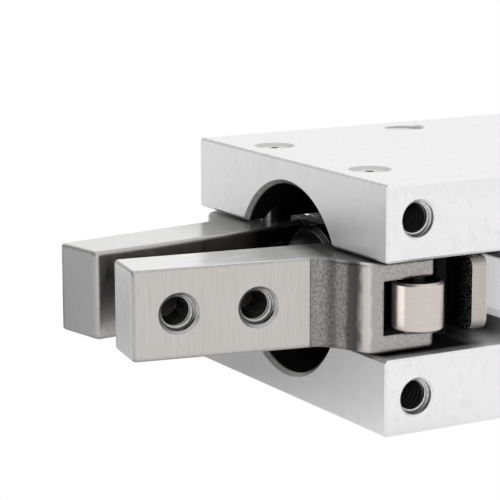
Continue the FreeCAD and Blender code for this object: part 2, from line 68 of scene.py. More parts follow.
# Screw threads; the ridge's height and crest are shares of the pitch
M4_PITCH = 0.7 * MM
M5_PITCH = 0.8 * MM
M4_RADIUS = 2.0 * MM
M5_RADIUS = 2.5 * MM
MOUTH_DEPTH = 0.25 * MM
SIDE_THREAD_LENGTH = 6.6 * MM
REAR_THREAD_LENGTH = 7.6 * MM
TOP_THREAD_LENGTH = 5.6 * MM
PORT_THREAD_LENGTH = 4.6 * MM
THREAD_STEPS = 40
THREAD_ROOT_SINK = 0.01 * MM
THREAD_HEIGHT = 0.54
THREAD_CREST = 0.125
THREAD_SHARP_ANGLE = math.radians(35)

# Light in a thread: depth of its bright mouth, then the depths between which its crests grow dark
SIDE_THREAD_LIGHT = (0.55 * MM, 1.0 * MM, 1.4 * MM)
REAR_THREAD_LIGHT = (0.6 * MM, 1.2 * MM, 3.0 * MM)
FINGER_THREAD_LIGHT = (0.48 * MM, 1.1 * MM, 1.8 * MM)
MOUTH_FADE = 0.12 * MM
MOUTH_LIGHT = 0.9
CREST_RISE = (0.34 * MM, 0.16 * MM)
THREAD_GROOVE_LIGHT = 0.08
THREAD_GRAIN_DEPTH = 0.003 * MM

# Finger surfaces, where a pair gives the ends of a fade
# Reach runs along the finger from its pivot to the rear, away outwards, and level up from its middle
FINGER_LEAN = math.radians(10.0)
PAD_END = -8.45 * MM
PAD_END_BLUR = 0.03 * MM
PAD_FACING = (0.9, 0.97)
FLAT_FACING = (0.9, 0.98)
TIP_FACING = (-0.9, -0.97)
INNER_FACING = (-0.85, -0.95)
# The groove at the pad's end is painted dark as shade
GROOVE_HALF = 0.06 * MM
GROOVE_FACING = (0.8, 0.9)
GROOVE_SHADE = 0.75
SHOULDER_AWAY = (3.2 * MM, 3.5 * MM)
BAND_WANDER = 0.12 * MM
ROUGH_END = -4.9 * MM
ROUGH_BLUR = 0.25 * MM
PRONG_REACH = (-2.7 * MM, -2.3 * MM)
# Painted shade on the top under the body's plates, and near the left finger's root
PLATE_SHADE_REACH = (-9.4 * MM, -6.0 * MM)
PLATE_SHADE = 0.9
TOP_ROOT_REACH = (-15.0 * MM, -8.0 * MM)
# Painted shade on the inner face, between the fingers and towards the root
INNER_SHADE_REACH = (-20.5 * MM, -14.5 * MM)
INNER_SHADE_BLUR = 0.6 * MM
INNER_SHADE_LEVEL = (2.2 * MM, 1.2 * MM)
INNER_ROOT_REACH = (-8.5 * MM, -6.0 * MM)
# Painted shade inside the fork, between its prongs
FORK_REACH = (-6.0 * MM, -5.0 * MM)
FORK_LEVEL = (4.5 * MM, 4.3 * MM)
# The fork's root is painted bright and glows as painted light; its normal is tilted as if scooped
FORK_ROOT_DEPTH = 0.95 * MM
FORK_ROOT_BAND = 0.15 * MM
FORK_ROOT_BLUR = 0.05 * MM
FORK_ROOT_FACING = (0.95, 0.98)
FORK_ROOT_SCOOP = 0.5
# Taps in the finger, whose walls are painted dark as shade
TAP_STATIONS = (-23.4 * MM, -14.4 * MM)
TAP_RADIUS = (2.02 * MM, 2.12 * MM)
TAP_AWAY = (3.15 * MM, 2.85 * MM)
TAP_SHARP_RADIUS = (2.9 * MM, 3.2 * MM)
FINGER_EDGE = 0.5 * MM
FINGER_WEAR = 0.15 * MM
FINGER_RUB = 0.5
FINGER_GRAIN_DEPTH = 0.006 * MM

# Tone and metal of the fingers' top and end faces, by side; the tones differ between the fingers as painted light
# and shade, and the left finger's top gets painted shade near its root
FINGER_TOP_TONE_WITH_PAINTED_LIGHT = {1: 0.89, -1: 0.72}
FINGER_TOP_METAL = {1: (0.45, 0.12), -1: (0.72, 0.72)}
FINGER_ROOT_SHADE = {1: 0.0, -1: 0.8}
FINGER_END_TONE_WITH_PAINTED_LIGHT = {1: 0.94, -1: 0.45}
FINGER_END_METAL = {1: 0.1, -1: 1.0}

# Painted light and shade on the shoulder's curved face: its tone at stations along the finger, in millimetres
SHOULDER_LIGHT_BANDS = [(-8.45, 0.25), (-7.5, 0.27), (-6.9, 0.23), (-6.4, 0.15), (-6.1, 0.17), (-5.85, 0.28),
                  (-5.35, 0.26), (-5.05, 0.1), (-4.45, 0.075), (-4.2, 0.22), (-3.85, 0.63), (-3.4, 0.64),
                  (-3.1, 0.4), (-1.5, 0.38)]
SHOULDER_TINT = (1.0, 0.955, 0.92, 1.0)

# Body surfaces: out from its middle plane, depth behind its front face, rise from its middle
# The bore's wall behind its mouth is painted dark as shade
BORE_RADIUS = 11.0 * MM
BORE_WALL = (0.05 * MM, 0.15 * MM)
BORE_FRONT = 0.55 * MM
BORE_REAR = 0.6 * MM
BORE_BLUR = 0.12 * MM
# The bore's broken front edge and the front face's top chamfer are painted darker as shade
RIM_WIDTH = 0.44 * MM
RIM_BLUR = 0.02 * MM
RIM_DEPTH = (0.02 * MM, 0.5 * MM)
RIM_DEPTH_BLUR = 0.01 * MM
FRONT_EDGE_WAY = Vector((0, -0.7071, 0.7071))
FRONT_EDGE_FACING = (0.93, 0.98)
# The slot behind its mouth is painted dark as shade, apart from the lit parts of its floor and end wall
SLOT_HALF = 5.3 * MM
SLOT_WALL = (0.05 * MM, 0.12 * MM)
SLOT_MOUTH = (0.15 * MM, 2.2 * MM)
SLOT_FRONT = 0.6 * MM
SLOT_BLUR = 0.5 * MM
SLOT_DEPTH = 18.4 * MM
SLOT_DEPTH_MARGIN = 0.05 * MM
SLOT_END_BAND = 0.2 * MM
SLOT_END_BLUR = 0.05 * MM
SLOT_END_FACING = (0.9, 0.95)
SLOT_END_BORE_FADE = 0.3 * MM
SLOT_FLOOR_DEPTH = (12.0 * MM, 17.5 * MM)
SLOT_FLOOR_OUT = (12.0 * MM, 18.0 * MM)
# The side taps' walls are painted dark as shade
SIDE_TAP_SETBACK = 4.1 * MM
SIDE_TAP_RISE = 9.8 * MM
SIDE_TAP_RADIUS = (2.02 * MM, 2.1 * MM)
SIDE_TAP_DEPTH = (0.7 * MM, 1.0 * MM)
BODY_WEAR = 0.1 * MM
BODY_RUB = 0.8
BODY_GRAIN_DEPTH = 0.004 * MM

# Shadow on the slot's end wall at heights in millimetres: 1 where no light reaches it
SLOT_END_SHADE = [(-5.3, 1.0), (-3.6, 1.0), (-3.45, 0.3), (-2.7, 0.22), (-2.6, 0.0), (3.1, 0.0),
                  (3.4, 1.0), (5.3, 1.0)]

# Pivot pins and the mouths of their holes; a depth is below the plate's outer face. The foot of each mouth, the
# pins' broken edges and one side of their shanks are painted dark as shade
PIN_MOUTH_RADIUS = 2.45 * MM
PIN_MOUTH_BLUR = 0.02 * MM
PIN_MOUTH_DEPTH = (1.4 * MM, 1.3 * MM)
PIN_FOOT_DEPTH = (0.35 * MM, 0.55 * MM)
PIN_END_DEPTH = (1.0 * MM, 0.8 * MM)
PIN_END_FACING = (0.9, 0.95)
PIN_EDGE_FACING = (0.55, 0.85)
PIN_EDGE_BLUR = 0.05
PIN_SHADED_WAY = Vector((0.49, 0.87, 0))
PIN_SHADED_FACING = (-0.5, -0.2)
PIN_GRAIN_DEPTH = 0.002 * MM

# Crosshead: its rear bar, the part of the bar where a painted sparkle stands in for the light it catches, and the
# bar's ends
BAR_DEPTH = (13.3 * MM, 13.4 * MM)
BAR_LIT_OUT = (14.6 * MM, 16.8 * MM)
BAR_END_OUT = (16.8 * MM, 17.2 * MM)
BAR_END_FACING = (0.45, 0.8)
# Rubbed edges, painted bright also as edge highlights
CROSSHEAD_RUB_AND_HIGHLIGHT_WIDTH = 0.14 * MM
CROSSHEAD_LEAST_RUB_AND_HIGHLIGHT = 0.08
CROSSHEAD_GRIT_DEPTH = 0.12 * MM
CROSSHEAD_LEAST_GRIT = 0.1

# Rollers and plain finishes
ROLLER_WEAR = 0.14 * MM
# The roller's ends are painted dark as shade
ROLLER_END_FACING = (0.9, 0.97)
ROLLER_RING_DEPTH = 0.0005 * MM
PLAIN_WEAR = 0.12 * MM
PLAIN_GRAIN_DEPTH = 0.002 * MM

# Light, floor and cards; the floor gets painted shade near the gripper, seen only in reflections
WORLD_LIGHT = 0.45
FLOOR_REACH = 4.0
FLOOR_TONE = 0.92
FLOOR_NEAR_SHADE = 0.05
FOOT_MIDDLE = (-18 * MM, -8 * MM)
FOOT_FADE = (8 * MM, 50 * MM)
FOOT_SHADE_TONE = 0.37
SHADE_MIDDLE = (-61 * MM, -43.5 * MM)
SHADE_RUN = Vector((-60, -57, 0)).normalized()
SHADE_LENGTH = 52 * MM
SHADE_WIDTH = 24.5 * MM
SHADE_FADE = (0.4, 1.3)
FLAG_TONE = 0.02
CORNER_FLAG_TONE = 0.1
# Painted glow on the slot's end wall and on the fingers' fork roots, standing in for light
SLOT_END_LIGHT = 0.5
FORK_ROOT_LIGHT = 1.0

# Span in which the values of a grain mostly lie, and how far a worn edge's rounded normal departs
GRAIN_SPAN = (0.3, 0.7)
WORN_EDGE_SPAN = (0.995, 0.86)

scene = bpy.context.scene
scene.view_settings.view_transform = "Standard"


# Small helpers for shader trees

def place(tree, kind, inputs=(), **options):
    """Add a shader node, set its options, and set or link its inputs."""
    made = tree.nodes.new(kind)
    for option, value in options.items():
        setattr(made, option, value)
    for socket, value in dict(inputs).items():
        if isinstance(value, bpy.types.NodeSocket):
            tree.links.new(value, made.inputs[socket])
        else:
            made.inputs[socket].default_value = value
    return made


def reckon(tree, operation, first, second=0.0):
    return place(tree, "ShaderNodeMath", {0: first, 1: second}, operation=operation).outputs[0]


def plus(tree, first, second):
    return reckon(tree, "ADD", first, second)


def minus(tree, first, second):
    return reckon(tree, "SUBTRACT", first, second)


def times(tree, first, second):
    return reckon(tree, "MULTIPLY", first, second)


def larger(tree, first, second):
    return reckon(tree, "MAXIMUM", first, second)


def smaller(tree, first, second):
    return reckon(tree, "MINIMUM", first, second)


def size_of(tree, value):
    """Value without its sign."""
    return reckon(tree, "ABSOLUTE", value)


def rest_of(tree, mask):
    """Mask that is 1 where the given one is 0."""
    return minus(tree, 1.0, mask)


def radius_from(tree, first, second):
    squares = plus(tree, times(tree, first, first), times(tree, second, second))
    return reckon(tree, "SQRT", squares)


def dot(tree, vector, direction):
    return place(tree, "ShaderNodeVectorMath", {0: vector, 1: direction},
                 operation="DOT_PRODUCT").outputs["Value"]


def along(tree, where, direction):
    """Distance from the origin along a direction, on the piece."""
    return dot(tree, where.outputs["Object"], direction)


def facing(tree, where, direction):
    """How far the piece's surface faces a direction, from -1 to 1."""
    return dot(tree, where.outputs["Normal"], direction)


def ramp(tree, value, low, high, low_to=0.0, high_to=1.0):
    """Value carried from the span low..high to the span low_to..high_to, held at its ends."""
    return place(tree, "ShaderNodeMapRange", {"Value": value, "From Min": low, "From Max": high,
                                              "To Min": low_to, "To Max": high_to}).outputs["Result"]


def within(tree, value, low, high, blur):
    """Mask that is 1 while value lies between low and high, with soft edges."""
    rising = ramp(tree, value, low - blur, low + blur)
    falling = ramp(tree, value, high - blur, high + blur, 1.0, 0.0)
    return times(tree, rising, falling)


def blend(tree, mask, first, second):
    """Colour mix: first where the mask is 0, second where it is 1."""
    mixer = place(tree, "ShaderNodeMix", {0: mask, 6: first, 7: second}, data_type="RGBA")
    return mixer.outputs[2]


def blend_value(tree, mask, first, second):
    """Value mix: first where the mask is 0, second where it is 1."""
    return place(tree, "ShaderNodeMix", {0: mask, 2: first, 3: second}, data_type="FLOAT").outputs[0]


def tone(red, green=None, blue=None):
    if green is None:
        return (red, red, red, 1.0)
    return (red, green, blue, 1.0)


def banded(tree, value, stops):
    """Tone that follows stops of (millimetres, tone) in a straight line between each pair."""
    low, high = stops[0][0], stops[-1][0]
    scale = place(tree, "ShaderNodeValToRGB", {0: ramp(tree, value, low * MM, high * MM)})
    points = scale.color_ramp.elements
    while len(points) < len(stops):
        points.new(0.5)
    for point, (station, level) in zip(points, stops):
        point.position = (station - low) / (high - low)
        point.color = tone(level)
    return scale.outputs["Color"]


def bump(tree, height, depth=1.0, normal=None):
    made = place(tree, "ShaderNodeBump", {"Height": height, "Strength": 1.0, "Distance": depth})
    if normal is not None:
        tree.links.new(normal, made.inputs["Normal"])
    return made.outputs[0]


def new_material(name):
    material = bpy.data.materials.new(name)
    material.use_nodes = True
    return material, material.node_tree, material.node_tree.nodes["Principled BSDF"]


def connect(tree, shader, **sockets):
    """Set or link sockets of a shader; an underscore stands for the space in a socket's name."""
    for label, source in sockets.items():
        socket = shader.inputs[label.replace("_", " ")]
        if isinstance(source, bpy.types.NodeSocket):
            tree.links.new(source, socket)
        else:
            socket.default_value = source


# Effects that several finishes share

def new_group(name, inputs, outputs):
    group = bpy.data.node_groups.new(name, "ShaderNodeTree")
    for label, kind in inputs:
        group.interface.new_socket(label, in_out="INPUT", socket_type=kind)
    for label, kind in outputs:
        group.interface.new_socket(label, in_out="OUTPUT", socket_type=kind)
    return group, group.nodes.new("NodeGroupInput"), group.nodes.new("NodeGroupOutput")


def make_surface_grain():
    """Noise fixed to the piece; Stretch is its frequency along each axis, per metre."""
    group, given, result = new_group("surface_grain", [("Stretch", "NodeSocketVector"),
                                                       ("Detail", "NodeSocketFloat")],
                                     [("Value", "NodeSocketFloat")])
    where = place(group, "ShaderNodeTexCoord")
    scaled = place(group, "ShaderNodeVectorMath",
                   {0: where.outputs["Object"], 1: given.outputs["Stretch"]}, operation="MULTIPLY")
    noise = place(group, "ShaderNodeTexNoise", {"Vector": scaled.outputs[0], "Scale": 1.0,
                                                "Detail": given.outputs["Detail"], "Roughness": 0.6})
    group.links.new(noise.outputs["Fac"], result.inputs["Value"])
    return group


def make_edge_wear():
    """Mask that is 1 on edges sharper than Width, where a finish rubs bright."""
    group, given, result = new_group("edge_wear", [("Width", "NodeSocketFloat")],
                                     [("Mask", "NodeSocketFloat")])
    rounded = place(group, "ShaderNodeBevel", {"Radius": given.outputs["Width"]}, samples=6)
    true = place(group, "ShaderNodeNewGeometry")
    agree = dot(group, rounded.outputs["Normal"], true.outputs["Normal"])
    edge = ramp(group, agree, *WORN_EDGE_SPAN)
    group.links.new(edge, result.inputs["Mask"])
    return group


surface_grain = make_surface_grain()
edge_wear = make_edge_wear()


def use_grain(tree, stretch, detail):
    user = tree.nodes.new("ShaderNodeGroup")
    user.node_tree = surface_grain
    user.inputs["Stretch"].default_value = stretch
    user.inputs["Detail"].default_value = detail
    return user.outputs["Value"]


def even(frequency):
    """Stretch of a grain that is alike along every axis."""
    return (frequency, frequency, frequency)


def grained(tree, grain, low_to, high_to):
    """Value that follows a grain from low_to to high_to."""
    return ramp(tree, grain, *GRAIN_SPAN, low_to, high_to)


def mottled(tree, grain, dark, light):
    """Colour that follows a grain from dark to light."""
    return blend(tree, grained(tree, grain, 0.0, 1.0), dark, light)


def worn_edges(tree, width):
    user = tree.nodes.new("ShaderNodeGroup")
    user.node_tree = edge_wear
    user.inputs["Width"].default_value = width
    return user.outputs["Mask"]


# Plain finishes

def plain_finish(name, colour, metallic, roughness, stretch, spread=0.06, depth=PLAIN_GRAIN_DEPTH,
                 wear=None):
    """Finish with grain in its colour, gloss and relief; wear is the tone of its rubbed edges."""
    material, tree, shader = new_material(name)
    pattern = use_grain(tree, stretch, 2.0)
    blotch = use_grain(tree, even(180.0), 3.0)
    dark = tone(*[channel * (1 - spread) for channel in colour])
    light = tone(*[min(1.0, channel * (1 + spread)) for channel in colour])
    mixed = plus(tree, times(tree, pattern, 0.6), times(tree, blotch, 0.4))
    shade = mottled(tree, mixed, dark, light)
    gloss = grained(tree, pattern, roughness * 0.88, roughness * 1.12)
    if wear is not None:
        rub = times(tree, worn_edges(tree, PLAIN_WEAR), ramp(tree, blotch, 0.25, 0.6))
        shade = blend(tree, rub, shade, tone(*wear))
    connect(tree, shader, Base_Color=shade, Metallic=metallic, Roughness=gloss,
            Normal=bump(tree, pattern, depth))
    return material


PLAIN_FINISHES = {
    "pin_steel": dict(colour=(0.62, 0.61, 0.60), metallic=1.0, roughness=0.28,
                      stretch=(2400.0, 2400.0, 300.0), wear=(0.8, 0.79, 0.78)),
    # The roller pins' near-black colour is painted shade in the fork, and their rubbed edges also give faint
    # painted glints
    "shaded_roller_pin_steel": dict(colour=(0.035, 0.034, 0.033), metallic=1.0, roughness=0.22,
                             stretch=(2400.0, 2400.0, 300.0), wear=(0.4, 0.39, 0.38)),
    "dark_steel": dict(colour=(0.02, 0.02, 0.02), metallic=0.8, roughness=0.3, stretch=even(3000.0),
                       spread=0.3, wear=(0.88, 0.87, 0.86)),
    "rod_chrome": dict(colour=(0.80, 0.80, 0.80), metallic=1.0, roughness=0.12,
                       stretch=(300.0, 5200.0, 300.0), spread=0.02, depth=0.0004 * MM),
    "inner_aluminium": dict(colour=(0.70, 0.70, 0.71), metallic=0.95, roughness=0.33,
                            stretch=(260.0, 5200.0, 260.0), spread=0.08, wear=(0.85, 0.85, 0.85)),
    "open_thread": dict(colour=(0.72, 0.72, 0.71), metallic=0.9, roughness=0.32,
                        stretch=(1200.0, 1200.0, 5200.0), spread=0.1),
    "bearing_bronze": dict(colour=(0.58, 0.40, 0.20), metallic=0.9, roughness=0.42,
                           stretch=even(5200.0), spread=0.25, depth=0.004 * MM),
    "guide_plastic": dict(colour=(0.76, 0.74, 0.66), metallic=0.0, roughness=0.5, stretch=even(2400.0),
                          spread=0.08),
    "magnet_rubber": dict(colour=(0.09, 0.08, 0.08), metallic=0.1, roughness=0.6, stretch=even(4200.0),
                          spread=0.3, depth=0.004 * MM),
    "seal_rubber": dict(colour=(0.03, 0.03, 0.031), metallic=0.0, roughness=0.55, stretch=even(2600.0),
                        spread=0.25),
    "bumper_rubber": dict(colour=(0.28, 0.15, 0.07), metallic=0.0, roughness=0.5, stretch=even(2600.0),
                          spread=0.15),
}


# Body

def body_spots(tree, where):
    """Places on the body, with the distance from the bore's axis."""
    spot = SimpleNamespace()
    spot.out = size_of(tree, along(tree, where, X_AXIS))
    spot.depth = minus(tree, along(tree, where, Y_AXIS), front_face.y)
    spot.height = along(tree, where, Z_AXIS)
    spot.rise = size_of(tree, spot.height)
    spot.radius = radius_from(tree, spot.out, spot.rise)
    return spot


def unlit_bore(tree, spot):
    wall = ramp(tree, spot.radius, BORE_RADIUS + BORE_WALL[0], BORE_RADIUS + BORE_WALL[1], 1.0, 0.0)
    rear = body_high.y - front_face.y - BORE_REAR
    return times(tree, wall, within(tree, spot.depth, BORE_FRONT, rear, BORE_BLUR))


def slot_end(tree, where, spot):
    """Mask for the end wall of the slot, outside the bore."""
    wall = ramp(tree, facing(tree, where, -Y_AXIS), *SLOT_END_FACING)
    wall = times(tree, wall, ramp(tree, spot.radius, BORE_RADIUS, BORE_RADIUS + SLOT_END_BORE_FADE))
    before, behind = SLOT_DEPTH - SLOT_END_BAND, SLOT_DEPTH + SLOT_END_BAND
    return times(tree, wall, within(tree, spot.depth, before, behind, SLOT_END_BLUR))


def unlit_slot(tree, spot, end_wall, shadow):
    """Mask for the painted shade in the slot past its mouth, apart from the lit parts of its end wall and floor.
    """
    slot = ramp(tree, spot.rise, SLOT_HALF + SLOT_WALL[0], SLOT_HALF + SLOT_WALL[1], 1.0, 0.0)
    past_mouth = ramp(tree, spot.out, body_high.x - SLOT_MOUTH[0], body_high.x - SLOT_MOUTH[1])
    slot = times(tree, slot, past_mouth)
    end = SLOT_DEPTH + SLOT_DEPTH_MARGIN
    slot = times(tree, slot, within(tree, spot.depth, SLOT_FRONT, end, SLOT_BLUR))
    slot = blend_value(tree, end_wall, slot, shadow)
    lit_floor = ramp(tree, spot.depth, *SLOT_FLOOR_DEPTH)
    lit_floor = times(tree, lit_floor, ramp(tree, spot.out, *SLOT_FLOOR_OUT))
    return times(tree, slot, rest_of(tree, lit_floor))


def unlit_side_taps(tree, spot):
    tap = radius_from(tree, minus(tree, spot.depth, SIDE_TAP_SETBACK),
                      minus(tree, spot.rise, SIDE_TAP_RISE))
    deep = ramp(tree, spot.out, body_high.x - SIDE_TAP_DEPTH[0], body_high.x - SIDE_TAP_DEPTH[1])
    return times(tree, ramp(tree, tap, *SIDE_TAP_RADIUS, 1.0, 0.0), deep)


def inside_body(tree, where, spot):
    """Masks for the inner walls painted dark as shade, and for the part of the slot's end wall that gets a painted
    glow.
    """
    end_wall = slot_end(tree, where, spot)
    shadow = banded(tree, spot.height, SLOT_END_SHADE)
    unlit = larger(tree, unlit_bore(tree, spot), unlit_slot(tree, spot, end_wall, shadow))
    lit_end = times(tree, end_wall, rest_of(tree, shadow))
    return larger(tree, unlit, unlit_side_taps(tree, spot)), lit_end


def bore_rim(tree, spot):
    """Mask for the broken edge round the front of the bore."""
    ring = within(tree, spot.radius, BORE_RADIUS, BORE_RADIUS + RIM_WIDTH, RIM_BLUR)
    return times(tree, ring, within(tree, spot.depth, *RIM_DEPTH, RIM_DEPTH_BLUR))


def pin_mouths(tree, spot):
    """Masks for the mouths of the pivot pins' holes and for the foot of each mouth, where painted shade goes."""
    pivot = Vector(joints["right_finger_swing"]["pos_m"])
    mouth = radius_from(tree, minus(tree, spot.out, pivot.x),
                        minus(tree, spot.depth, pivot.y - front_face.y))
    mouth = ramp(tree, mouth, PIN_MOUTH_RADIUS - PIN_MOUTH_BLUR, PIN_MOUTH_RADIUS, 1.0, 0.0)
    depth = minus(tree, body_high.z, spot.rise)
    return times(tree, mouth, ramp(tree, depth, *PIN_MOUTH_DEPTH)), ramp(tree, depth, *PIN_FOOT_DEPTH)


def anodised_aluminium():
    """Clear anodised body: pale matt metal with a fine grain, rubbed at its edges; painted shade darkens its bore
    rim, top front chamfer, hole mouths and inner walls, and a painted glow lights part of the slot's end wall.
    """
    material, tree, shader = new_material("anodised_aluminium")
    where = place(tree, "ShaderNodeTexCoord")
    spot = body_spots(tree, where)
    fine = use_grain(tree, even(5200.0), 3.0)
    drawn = use_grain(tree, (2600.0, 2600.0, 140.0), 2.0)
    cloud = use_grain(tree, even(90.0), 2.0)
    scuff = use_grain(tree, (900.0, 900.0, 500.0), 4.0)
    shade = blend(tree, ramp(tree, fine, 0.32, 0.68), tone(0.865, 0.866, 0.874),
                  tone(0.935, 0.936, 0.943))
    shade = blend(tree, ramp(tree, drawn, 0.4, 0.75, 0.0, 0.22), shade, tone(0.955, 0.955, 0.96))
    shade = blend(tree, ramp(tree, cloud, 0.35, 0.7, 0.0, 0.25), shade, tone(0.905, 0.905, 0.911))
    shade = blend(tree, ramp(tree, scuff, 0.52, 0.72, 0.0, 0.3), shade, tone(0.7, 0.7, 0.705))
    shade = blend(tree, times(tree, worn_edges(tree, BODY_WEAR), BODY_RUB), shade, tone(0.95))
    cut = ramp(tree, drawn, 0.35, 0.65)
    # The bore's rim and the front face's top chamfer are painted darker as shade
    rim = blend(tree, cut, tone(0.40, 0.395, 0.385), tone(0.58, 0.575, 0.565))
    shade = blend(tree, bore_rim(tree, spot), shade, rim)
    edge = blend(tree, cut, tone(0.54, 0.537, 0.53), tone(0.70, 0.697, 0.69))
    on_edge = ramp(tree, facing(tree, where, FRONT_EDGE_WAY), *FRONT_EDGE_FACING)
    shade = blend(tree, on_edge, shade, edge)
    # Painted shade in the mouths of the pins' holes, darkest at their foot
    mouth, foot = pin_mouths(tree, spot)
    shade = blend(tree, mouth, shade, blend(tree, foot, tone(0.6, 0.595, 0.585), tone(0.1)))
    # Inner walls painted dark as shade, and part of the slot's end wall given a painted glow
    unlit, lit_end = inside_body(tree, where, spot)
    shade = blend(tree, unlit, shade, tone(0.012))
    metal = blend_value(tree, larger(tree, unlit, lit_end), 0.8, 0.3)
    glow = blend(tree, lit_end, tone(0.0), tone(SLOT_END_LIGHT))
    connect(tree, shader, Base_Color=shade, Metallic=metal, Roughness=grained(tree, fine, 0.3, 0.4),
            Emission_Color=glow, Emission_Strength=1.0, Normal=bump(tree, fine, BODY_GRAIN_DEPTH))
    return material


# Fingers

def finger_spots(tree, where, side):
    """Places on the finger, and masks for its faces."""
    lengthways = Vector((side * math.sin(FINGER_LEAN), math.cos(FINGER_LEAN), 0))
    outwards = Vector((side * math.cos(FINGER_LEAN), -math.sin(FINGER_LEAN), 0))
    pivot = Vector(joints[SIDES[side] + "_finger_swing"]["pos_m"])
    depth = minus(tree, along(tree, where, Y_AXIS), front_face.y)
    spot = SimpleNamespace()
    spot.reach = minus(tree, along(tree, where, lengthways), pivot.dot(lengthways))
    spot.away = minus(tree, along(tree, where, outwards), pivot.dot(outwards))
    spot.aside = minus(tree, pivot.x, along(tree, where, X_AXIS))
    spot.level = along(tree, where, Z_AXIS)
    spot.outwards = facing(tree, where, outwards)
    spot.near_root = ramp(tree, spot.reach, *TOP_ROOT_REACH)
    spot.past_pad = ramp(tree, spot.reach, PAD_END - PAD_END_BLUR, PAD_END + PAD_END_BLUR)
    spot.on_pad = times(tree, ramp(tree, spot.outwards, *PAD_FACING), rest_of(tree, spot.past_pad))
    spot.on_flat = ramp(tree, size_of(tree, facing(tree, where, Z_AXIS)), *FLAT_FACING)
    spot.on_tip = ramp(tree, facing(tree, where, lengthways), *TIP_FACING)
    root_band = within(tree, depth, FORK_ROOT_DEPTH - FORK_ROOT_BAND, FORK_ROOT_DEPTH + FORK_ROOT_BAND,
                       FORK_ROOT_BLUR)
    faces_rear = ramp(tree, facing(tree, where, Y_AXIS), *FORK_ROOT_FACING)
    spot.fork_root = times(tree, faces_rear, root_band)
    return spot


def tap_radius(tree, spot, station):
    """Distance from the axis of the tap at a station of the finger."""
    return radius_from(tree, minus(tree, spot.reach, station), spot.level)


def finger_grains(tree):
    """Grains of the brushed pad, the drawn top and bottom, the cast shoulder and the satin rest."""
    return SimpleNamespace(lines=use_grain(tree, (6500.0, 6500.0, 260.0), 3.0),
                           drawn=use_grain(tree, (2600.0, 160.0, 2600.0), 2.0),
                           cast=use_grain(tree, even(4400.0), 4.0),
                           satin=use_grain(tree, (1500.0, 1500.0, 700.0), 3.0))


def finger_top(tree, spot, grain, side):
    """Drawn top and bottom, with painted shade towards the plates and, on the left finger, near the root."""
    level = FINGER_TOP_TONE_WITH_PAINTED_LIGHT[side]
    shade = mottled(tree, grain.drawn, tone(level * 0.97, level * 0.96, level * 0.95),
                    tone(level * 1.08, level * 1.075, level * 1.07))
    # Painted shade on the top under the body's plates
    shade_under_plate = ramp(tree, spot.reach, *PLATE_SHADE_REACH, 0.0, PLATE_SHADE)
    shade = blend(tree, shade_under_plate, shade, tone(0.05, 0.048, 0.046))
    # Painted shade near the root, set by side
    root_shade = times(tree, spot.near_root, FINGER_ROOT_SHADE[side])
    return blend(tree, root_shade, shade, tone(0.45, 0.445, 0.435))


def finger_shoulder(tree, spot, grain):
    """Cast shoulder: painted bands of light and shade on its curve, with coarse specks by the pad and on the
    prongs.
    """
    wander = grained(tree, grain.satin, -BAND_WANDER, BAND_WANDER)
    bands = banded(tree, plus(tree, spot.reach, wander), SHOULDER_LIGHT_BANDS)
    warm = place(tree, "ShaderNodeMix", {0: 1.0, 6: bands, 7: SHOULDER_TINT}, data_type="RGBA",
                 blend_type="MULTIPLY").outputs[2]
    rough = within(tree, spot.reach, PAD_END, ROUGH_END, ROUGH_BLUR)
    coarse = ramp(tree, grain.cast, 0.36, 0.64, 0.62, 1.38)
    speck = blend_value(tree, rough, grained(tree, grain.cast, 0.94, 1.06), coarse)
    prong_speck = ramp(tree, grain.cast, 0.34, 0.66, 0.72, 1.28)
    speck = blend_value(tree, ramp(tree, spot.reach, *PRONG_REACH), speck, prong_speck)
    return place(tree, "ShaderNodeVectorMath", {0: warm, "Scale": speck}, operation="SCALE").outputs[0]


def finger_inner(tree, spot):
    """Inner face, painted dark as shade between the fingers and towards the root."""
    unlit = times(tree, ramp(tree, spot.level, *INNER_SHADE_LEVEL),
                  within(tree, spot.reach, *INNER_SHADE_REACH, INNER_SHADE_BLUR))
    unlit = larger(tree, unlit, ramp(tree, spot.reach, *INNER_ROOT_REACH))
    return blend(tree, unlit, tone(0.5, 0.475, 0.455), tone(0.04, 0.038, 0.036))


